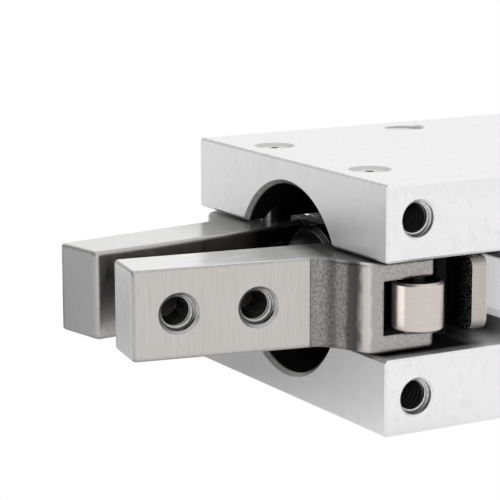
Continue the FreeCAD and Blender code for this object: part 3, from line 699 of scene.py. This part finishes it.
def finger_colour(tree, spot, grain, side):
    """Colour of the finger, laid on face by face; its groove, fork, taps and inner face carry painted shade, and
    its fork root painted light.
    """
    satin = mottled(tree, grain.satin, tone(0.42, 0.412, 0.405), tone(0.52, 0.512, 0.505))
    on_shoulder = times(tree, spot.past_pad, ramp(tree, spot.away, *SHOULDER_AWAY))
    shade = blend(tree, on_shoulder, satin, finger_shoulder(tree, spot, grain))
    pad = mottled(tree, grain.lines, tone(0.515, 0.492, 0.473), tone(0.6, 0.576, 0.557))
    shade = blend(tree, spot.on_pad, shade, pad)
    shade = blend(tree, spot.on_flat, shade, finger_top(tree, spot, grain, side))
    # The groove at the pad's end is painted dark as shade
    groove = within(tree, spot.reach, PAD_END - GROOVE_HALF, PAD_END + GROOVE_HALF, PAD_END_BLUR)
    groove = times(tree, groove, ramp(tree, spot.outwards, *GROOVE_FACING))
    shade = blend(tree, times(tree, groove, GROOVE_SHADE), shade, tone(0.08, 0.078, 0.075))
    # End faces, whose tone by side holds painted light and shade
    level = FINGER_END_TONE_WITH_PAINTED_LIGHT[side]
    end = mottled(tree, grain.satin, tone(level * 0.94), tone(level * 1.04))
    shade = blend(tree, times(tree, spot.on_tip, rest_of(tree, spot.past_pad)), shade, end)
    shade = blend(tree, ramp(tree, spot.outwards, *INNER_FACING), shade, finger_inner(tree, spot))
    rub = times(tree, worn_edges(tree, FINGER_WEAR), FINGER_RUB)
    shade = blend(tree, rub, shade, tone(0.80, 0.79, 0.775))
    # Painted shade inside the fork, between its prongs
    shade_in_fork = times(tree, ramp(tree, size_of(tree, spot.level), *FORK_LEVEL),
                    ramp(tree, spot.reach, *FORK_REACH))
    shade = blend(tree, times(tree, spot.on_flat, shade_in_fork), shade, tone(0.02, 0.019, 0.018))
    # The taps' walls are painted dark as shade
    for station in TAP_STATIONS:
        wall = ramp(tree, tap_radius(tree, spot, station), *TAP_RADIUS, 1.0, 0.0)
        shade = blend(tree, times(tree, wall, ramp(tree, spot.away, *TAP_AWAY)), shade, tone(0.01))
    # The fork's root is painted bright as light
    return blend(tree, spot.fork_root, shade, tone(0.88, 0.86, 0.84))


def finger_relief(tree, spot, height, side):
    """Normal of the finger: rounded edges away from the taps, a scooped fork root, and the grain."""
    edge_width = FINGER_EDGE
    for station in TAP_STATIONS:
        from_tap = ramp(tree, tap_radius(tree, spot, station), *TAP_SHARP_RADIUS)
        edge_width = times(tree, from_tap, edge_width)
    rounded = place(tree, "ShaderNodeBevel", {"Radius": edge_width}, samples=8).outputs["Normal"]
    scoop = times(tree, times(tree, spot.aside, spot.fork_root), side * FORK_ROOT_SCOOP)
    return bump(tree, height, FINGER_GRAIN_DEPTH, bump(tree, scoop, normal=rounded))


def finger_steel(side):
    """Stainless lever: brushed pad, cast shoulder past the pad's end, smooth drawn top and bottom, and a fork root
    that glows as painted light.
    """
    material, tree, shader = new_material("finger_steel_" + SIDES[side])
    where = place(tree, "ShaderNodeTexCoord")
    spot = finger_spots(tree, where, side)
    grain = finger_grains(tree)
    height = blend_value(tree, spot.past_pad, grain.satin, grain.cast)
    height = blend_value(tree, spot.on_pad, height, grain.lines)
    height = blend_value(tree, spot.on_flat, height, grain.drawn)
    gloss = grained(tree, height, 0.28, 0.4)
    gloss = blend_value(tree, spot.on_flat, gloss, grained(tree, grain.drawn, 0.2, 0.28))
    top_metal = ramp(tree, spot.near_root, 0.0, 1.0, *FINGER_TOP_METAL[side])
    metal = blend_value(tree, spot.on_flat, 1.0, top_metal)
    metal = blend_value(tree, spot.on_tip, metal, FINGER_END_METAL[side])
    # Painted glow on the fork's root, standing in for light
    glow = blend(tree, spot.fork_root, tone(0.0), tone(FORK_ROOT_LIGHT))
    connect(tree, shader, Base_Color=finger_colour(tree, spot, grain, side), Metallic=metal,
            Roughness=gloss, Normal=finger_relief(tree, spot, height, side), Emission_Color=glow,
            Emission_Strength=1.0)
    return material


# Crosshead, rollers and pivot pins

def crosshead_steel():
    """Blasted plate painted black as shade, with a painted sparkle highlight near the ends of its rear bar and tan
    end faces; its rubbed edges are painted bright also as edge highlights.
    """
    material, tree, shader = new_material("crosshead_steel")
    where = place(tree, "ShaderNodeTexCoord")
    grit = use_grain(tree, even(5200.0), 2.0)
    blotch = use_grain(tree, even(700.0), 2.0)
    out = size_of(tree, along(tree, where, X_AXIS))
    depth = minus(tree, along(tree, where, Y_AXIS), front_face.y)
    # Painted sparkle highlight near the ends of the rear bar, on black that stands in for shade
    lit = times(tree, ramp(tree, out, *BAR_LIT_OUT), ramp(tree, depth, *BAR_DEPTH))
    sparkle = times(tree, ramp(tree, grit, 0.5, 0.6), lit)
    black = blend(tree, sparkle, tone(0.005), tone(0.9, 0.88, 0.85))
    ends = ramp(tree, size_of(tree, facing(tree, where, X_AXIS)), *BAR_END_FACING)
    ends = times(tree, ends, ramp(tree, out, *BAR_END_OUT))
    tan = mottled(tree, grit, tone(0.45, 0.405, 0.372), tone(0.62, 0.57, 0.535))
    shade = blend(tree, ends, black, tan)
    # Rubbed edges, painted bright also as edge highlights, most on the bar's ends
    rub = times(tree, worn_edges(tree, CROSSHEAD_RUB_AND_HIGHLIGHT_WIDTH), ramp(tree, blotch, 0.3, 0.6, 0.45, 1.0))
    rub = times(tree, rub, larger(tree, ends, CROSSHEAD_LEAST_RUB_AND_HIGHLIGHT))
    shade = blend(tree, rub, shade, tone(0.86, 0.82, 0.79))
    relief = blend_value(tree, times(tree, lit, rest_of(tree, ends)), CROSSHEAD_LEAST_GRIT, 1.0)
    connect(tree, shader, Base_Color=shade, Metallic=0.96, Roughness=grained(tree, grit, 0.36, 0.52),
            Normal=bump(tree, times(tree, grit, relief), CROSSHEAD_GRIT_DEPTH))
    return material


def roller_steel():
    """Polished roller with fine turned rings; its ends are painted dark as shade, lying between the prongs of the
    fork.
    """
    material, tree, shader = new_material("roller_steel")
    where = place(tree, "ShaderNodeTexCoord")
    rings = use_grain(tree, (300.0, 300.0, 5200.0), 2.0)
    blotch = use_grain(tree, even(180.0), 3.0)
    shade = mottled(tree, rings, tone(0.605, 0.548, 0.522), tone(0.655, 0.594, 0.566))
    rub = times(tree, worn_edges(tree, ROLLER_WEAR), ramp(tree, blotch, 0.3, 0.5, 0.4, 1.0))
    shade = blend(tree, rub, shade, tone(0.92, 0.88, 0.85))
    # The roller's ends are painted dark as shade
    ends = ramp(tree, size_of(tree, facing(tree, where, Z_AXIS)), *ROLLER_END_FACING)
    shade = blend(tree, ends, shade, tone(0.02, 0.019, 0.018))
    connect(tree, shader, Base_Color=shade, Metallic=0.92, Roughness=grained(tree, rings, 0.26, 0.33),
            Normal=bump(tree, rings, ROLLER_RING_DEPTH))
    return material


def pivot_steel():
    """Ground pivot pins: grey ends whose broken edge is painted dark as shade, and shanks painted dark as shade on
    one side, so that they are bright on the other.
    """
    material, tree, shader = new_material("pivot_steel")
    where = place(tree, "ShaderNodeTexCoord")
    ground = use_grain(tree, (2400.0, 2400.0, 300.0), 2.0)
    turned = use_grain(tree, even(3600.0), 3.0)
    upright = size_of(tree, facing(tree, where, Z_AXIS))
    depth = minus(tree, body_high.z, size_of(tree, along(tree, where, Z_AXIS)))
    at_end = ramp(tree, depth, *PIN_END_DEPTH)
    shank = mottled(tree, ground, tone(0.72, 0.71, 0.70), tone(0.84, 0.83, 0.82))
    # One side of the shank is painted dark as shade
    unlit = ramp(tree, facing(tree, where, PIN_SHADED_WAY), *PIN_SHADED_FACING)
    shank = blend(tree, unlit, shank, tone(0.012))
    face = mottled(tree, turned, tone(0.62, 0.615, 0.605), tone(0.72, 0.715, 0.705))
    shade = blend(tree, times(tree, at_end, ramp(tree, upright, *PIN_END_FACING)), shank, face)
    # The broken edge of the end is painted dark as shade
    shaded_broken_edge = times(tree, at_end, within(tree, upright, *PIN_EDGE_FACING, PIN_EDGE_BLUR))
    shade = blend(tree, shaded_broken_edge, shade, tone(0.10, 0.098, 0.095))
    connect(tree, shader, Base_Color=shade, Metallic=1.0, Roughness=grained(tree, ground, 0.24, 0.32),
            Normal=bump(tree, ground, PIN_GRAIN_DEPTH))
    return material


finishes = {name: plain_finish(name, **values) for name, values in PLAIN_FINISHES.items()}
finishes["anodised_aluminium"] = anodised_aluminium()
finishes["crosshead_steel"] = crosshead_steel()
finishes["roller_steel"] = roller_steel()
finishes["pivot_steel"] = pivot_steel()
for sign, side_name in SIDES.items():
    finishes["finger_steel_" + side_name] = finger_steel(sign)


def dress_nodes():
    """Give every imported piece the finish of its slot; the fingers and pins have ones of their own."""
    slots = {part["node"]: part["material_slot"] for part in frame["record"]["subparts"]}
    for side in SIDES.values():
        slots["finger_" + side] = "finger_steel_" + side
        slots["pivot_pins_" + side] = "pivot_steel"
        slots["roller_pin_" + side] = "shaded_roller_pin_steel"
    for name, piece in frame["nodes"].items():
        piece.data.materials.clear()
        piece.data.materials.append(finishes[slots[name]])


# Screw threads

def thread_radius(tree, where, holes):
    """Distance from the axis of the nearest of several round holes."""
    nearest = None
    for hole in holes:
        mouth, inward = hole[:2]
        offset = place(tree, "ShaderNodeVectorMath", {0: where.outputs["Object"], 1: mouth},
                       operation="SUBTRACT")
        across = place(tree, "ShaderNodeVectorMath", {0: offset.outputs[0], 1: inward},
                       operation="CROSS_PRODUCT")
        length = place(tree, "ShaderNodeVectorMath", {0: across.outputs[0]}, operation="LENGTH")
        apart = length.outputs["Value"]
        nearest = apart if nearest is None else smaller(tree, nearest, apart)
    return nearest


def thread_finish(name, holes, light, both_sides=False):
    """Cut thread: bright in its mouth, then on its crests, unlit deeper; opposite holes set both_sides."""
    material, tree, shader = new_material(name)
    where = place(tree, "ShaderNodeTexCoord")
    mouth, inward, radius = holes[0][:3]
    bright_depth, fade_from, fade_to = light
    start = -mouth.dot(inward)
    out = along(tree, where, -inward)
    if both_sides:
        start = abs(start)
        out = size_of(tree, out)
    depth = minus(tree, start, out)
    fine = use_grain(tree, even(3200.0), 2.0)
    apart = thread_radius(tree, where, holes)
    crest = ramp(tree, apart, radius - CREST_RISE[0], radius - CREST_RISE[1], 1.0, THREAD_GROOVE_LIGHT)
    lit = times(tree, crest, ramp(tree, depth, fade_from, fade_to, 1.0, 0.0))
    mouth_light = ramp(tree, depth, bright_depth, bright_depth + MOUTH_FADE, MOUTH_LIGHT, 0.0)
    lit = larger(tree, lit, mouth_light)
    bright = mottled(tree, fine, tone(0.50, 0.50, 0.49), tone(0.82, 0.82, 0.80))
    connect(tree, shader, Base_Color=blend(tree, lit, tone(0.006), bright), Metallic=0.9,
            Roughness=grained(tree, fine, 0.26, 0.36), Normal=bump(tree, fine, THREAD_GRAIN_DEPTH))
    return material


def cut_thread(mesh, mouth, inward, radius, pitch, length):
    """Add one helical thread ridge that lines a round hole from its mouth inwards."""
    across = inward.orthogonal().normalized()
    beside = inward.cross(across)
    outer = radius + THREAD_ROOT_SINK
    crest = radius - THREAD_HEIGHT * pitch
    flat = THREAD_CREST * pitch / 2
    section = [(outer, -pitch / 2 + flat), (crest, -flat), (crest, flat), (outer, pitch / 2 - flat)]
    turns = length / pitch - 1
    count = int(turns * THREAD_STEPS)
    rings = []
    for step in range(count + 1):
        angle = 2 * math.pi * step / THREAD_STEPS
        spoke = across * math.cos(angle) + beside * math.sin(angle)
        depth = pitch / 2 + pitch * step / THREAD_STEPS
        fade = min(1.0, 2.0 * step / THREAD_STEPS, 2.0 * (count - step) / THREAD_STEPS)
        ring = []
        for reach, shift in section:
            reach = outer - (outer - reach) * fade
            ring.append(mesh.verts.new(mouth + spoke * reach + inward * (depth + shift)))
        rings.append(ring)
    for before, after in zip(rings, rings[1:]):
        for corner in range(len(section)):
            follows = (corner + 1) % len(section)
            mesh.faces.new((before[corner], before[follows], after[follows], after[corner]))
    mesh.faces.new(rings[0][::-1])
    mesh.faces.new(rings[-1])


def thread_piece(name, holes, body, finish):
    """One piece that holds the threads of several like holes."""
    mesh = bmesh.new()
    for hole in holes:
        cut_thread(mesh, *hole)
    bmesh.ops.recalc_face_normals(mesh, faces=mesh.faces)
    data = bpy.data.meshes.new(name)
    mesh.to_mesh(data)
    mesh.free()
    piece = bpy.data.objects.new(name, data)
    scene.collection.objects.link(piece)
    data.materials.append(finish)
    data.shade_smooth()
    data.set_sharp_from_angle(angle=THREAD_SHARP_ANGLE)
    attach(piece, body)


def tap_holes(names, radius, pitch):
    """Mouths and lengths of threaded-hole mounts, which give the middle of their walls."""
    holes = []
    for name in names:
        mount = mounts[name]
        axis = Vector(mount["axis"]).normalized()
        length = mount["dims"]["length_mm"] * MM
        mouth = Vector(mount["pos_m"]) + axis * length / 2
        holes.append((mouth, -axis, radius, pitch, length))
    return holes


def pattern_holes(name, radius, pitch, length):
    """Mouths of a bolt-pattern mount's holes; spacing_y runs along Z, spacing_x across it."""
    mount = mounts[name]
    axis = Vector(mount["axis"]).normalized()
    dims = mount["dims"]
    across = (Y_AXIS if axis.x else X_AXIS) * dims.get("spacing_x_mm", 0.0) * MM / 2
    rise = Z_AXIS * dims.get("spacing_y_mm", 0.0) * MM / 2
    offsets = {tuple(a + b) for a in (-across, across) for b in (-rise, rise)}
    start = Vector(mount["pos_m"]) - axis * MOUTH_DEPTH
    return [(start + Vector(offset), -axis, radius, pitch, length) for offset in sorted(offsets)]


def make_body_threads():
    sides = []
    for side in SIDES.values():
        sides += pattern_holes("side_bolts_" + side, M4_RADIUS, M4_PITCH, SIDE_THREAD_LENGTH)
    thread_piece("side_threads", sides, "housing",
                 thread_finish("side_thread", sides, SIDE_THREAD_LIGHT, both_sides=True))
    rear = pattern_holes("rear_bolts", M4_RADIUS, M4_PITCH, REAR_THREAD_LENGTH)
    thread_piece("rear_threads", rear, "housing",
                 thread_finish("rear_thread", rear, REAR_THREAD_LIGHT))
    top = pattern_holes("top_bolts", M5_RADIUS, M5_PITCH, TOP_THREAD_LENGTH)
    thread_piece("top_threads", top, "housing", finishes["open_thread"])
    ports = pattern_holes("air_ports", M5_RADIUS, M5_PITCH, PORT_THREAD_LENGTH)
    thread_piece("port_threads", ports, "housing", finishes["open_thread"])


def make_finger_threads():
    for side in SIDES.values():
        names = ["finger_%s_%s_tap" % (side, end) for end in ("tip", "root")]
        holes = tap_holes(names, M4_RADIUS, M4_PITCH)
        finish = thread_finish("finger_%s_thread" % side, holes, FINGER_THREAD_LIGHT)
        thread_piece("finger_%s_threads" % side, holes, side + "_lever", finish)


# Stage, light and camera

def make_camera():
    camera = bpy.data.objects.new("camera", bpy.data.cameras.new("camera"))
    scene.collection.objects.link(camera)
    level = math.cos(CAMERA_ELEVATION)
    back = Vector((math.sin(CAMERA_AZIMUTH) * level, -math.cos(CAMERA_AZIMUTH) * level,
                   math.sin(CAMERA_ELEVATION)))
    right = Vector((math.cos(CAMERA_AZIMUTH), math.sin(CAMERA_AZIMUTH), 0))
    up = back.cross(right)
    rolled_right = right * math.cos(CAMERA_ROLL) + up * math.sin(CAMERA_ROLL)
    rolled_up = up * math.cos(CAMERA_ROLL) - right * math.sin(CAMERA_ROLL)
    turn = Matrix((rolled_right, rolled_up, back)).transposed()
    camera.matrix_world = Matrix.Translation(front_face + CAMERA_PLACE) @ turn.to_4x4()
    camera.data.lens = CAMERA_LENS
    camera.data.clip_start = CAMERA_NEAREST
    scene.camera = camera


def seen_directly(tree):
    """1 for rays that show the backdrop: from the camera, reflected or let through."""
    rays = place(tree, "ShaderNodeLightPath")
    seen = larger(tree, rays.outputs["Is Camera Ray"], rays.outputs["Is Glossy Ray"])
    return larger(tree, seen, rays.outputs["Is Transmission Ray"])


def make_world():
    world = bpy.data.worlds.new("white_studio")
    world.use_nodes = True
    tree = world.node_tree
    background = tree.nodes["Background"]
    background.inputs["Color"].default_value = tone(1.0)
    strength = ramp(tree, seen_directly(tree), 0.0, 1.0, WORLD_LIGHT, 1.0)
    tree.links.new(strength, background.inputs["Strength"])
    scene.world = world


def stage_sheet(name, corners, material):
    """Flat sheet of the studio, such as the floor or a shading card."""
    data = bpy.data.meshes.new(name)
    data.from_pydata(corners, [], [(0, 1, 2, 3)])
    data.materials.append(material)
    sheet = bpy.data.objects.new(name, data)
    scene.collection.objects.link(sheet)
    return sheet


def floor_offset(tree, where, middle):
    """Distances on the floor from a place given from the middle of the front face."""
    return (minus(tree, along(tree, where, X_AXIS), front_face.x + middle[0]),
            minus(tree, along(tree, where, Y_AXIS), front_face.y + middle[1]))


def floor_level(tree):
    """Brightness of the floor: full to the camera, with painted shade in reflections close to the gripper."""
    where = place(tree, "ShaderNodeTexCoord")
    away, ahead = floor_offset(tree, where, SHADE_MIDDLE)
    run = plus(tree, times(tree, away, SHADE_RUN.x / SHADE_LENGTH),
               times(tree, ahead, SHADE_RUN.y / SHADE_LENGTH))
    beside = minus(tree, times(tree, away, SHADE_RUN.y / SHADE_WIDTH),
                   times(tree, ahead, SHADE_RUN.x / SHADE_WIDTH))
    level = ramp(tree, radius_from(tree, run, beside), *SHADE_FADE, FLOOR_NEAR_SHADE, 1.0)
    foot = radius_from(tree, *floor_offset(tree, where, FOOT_MIDDLE))
    level = smaller(tree, level, ramp(tree, foot, *FOOT_FADE, FOOT_SHADE_TONE, 1.0))
    rays = place(tree, "ShaderNodeLightPath")
    return larger(tree, level, rays.outputs["Is Camera Ray"])


def make_floor():
    """White floor with painted shade close to the gripper, in reflections only."""
    material, tree, shader = new_material("pale_floor")
    connect(tree, shader, Base_Color=tone(FLOOR_TONE), Roughness=0.9)
    glow = place(tree, "ShaderNodeEmission", {"Color": tone(1.0), "Strength": floor_level(tree)})
    mixer = place(tree, "ShaderNodeMixShader", {0: seen_directly(tree), 1: shader.outputs[0],
                                                2: glow.outputs[0]})
    tree.links.new(mixer.outputs[0], tree.nodes["Material Output"].inputs["Surface"])
    reach = FLOOR_REACH
    height = body_low.z
    stage_sheet("floor", [(-reach, -reach, height), (reach, -reach, height), (reach, reach, height),
                          (-reach, reach, height)], material)


def flag_cloth(name, level):
    material, tree, shader = new_material(name)
    connect(tree, shader, Base_Color=tone(0.0), Roughness=0.9, Emission_Color=tone(level),
            Emission_Strength=1.0)
    return material


def make_flag(name, near, far, low, high, material):
    """Dark card that shows only in reflections; near and far are in millimetres."""
    near = front_face + Vector(near) * MM
    far = front_face + Vector(far) * MM
    flag = stage_sheet(name, [(near.x, near.y, low), (far.x, far.y, low), (far.x, far.y, high),
                              (near.x, near.y, high)], material)
    flag.visible_camera = False
    flag.visible_shadow = False
    flag.visible_diffuse = False


def make_flags():
    make_flag("front_flag", near=(55, -270, 0), far=(-190, -250, 0), low=body_low.z, high=150 * MM,
              material=flag_cloth("black_flag", FLAG_TONE))
    make_flag("corner_flag", near=(-183, -172, 0), far=(-241, -68, 0), low=8 * MM, high=170 * MM,
              material=flag_cloth("grey_flag", CORNER_FLAG_TONE))


def make_lamp(name, place_at, aim_at, size, power):
    """Soft lamp that no reflection shows; places are in millimetres from the middle of the front face."""
    data = bpy.data.lights.new(name, "AREA")
    data.shape = "SQUARE"
    data.size = size
    data.energy = power
    lamp = bpy.data.objects.new(name, data)
    lamp.visible_glossy = False
    scene.collection.objects.link(lamp)
    spot = front_face + Vector(place_at) * MM
    aim = front_face + Vector(aim_at) * MM - spot
    turn = aim.to_track_quat("-Z", "Y").to_matrix().to_4x4()
    lamp.matrix_world = Matrix.Translation(spot) @ turn


def make_lights():
    make_lamp("top_softbox", place_at=(60, 40, 420), aim_at=(0, 20, 0), size=0.5, power=0.58)
    make_lamp("side_softbox", place_at=(420, 120, 160), aim_at=(0, 10, 0), size=0.4, power=0.27)


dress_nodes()
make_body_threads()
make_finger_threads()
make_camera()
make_world()
make_floor()
make_flags()
make_lights()
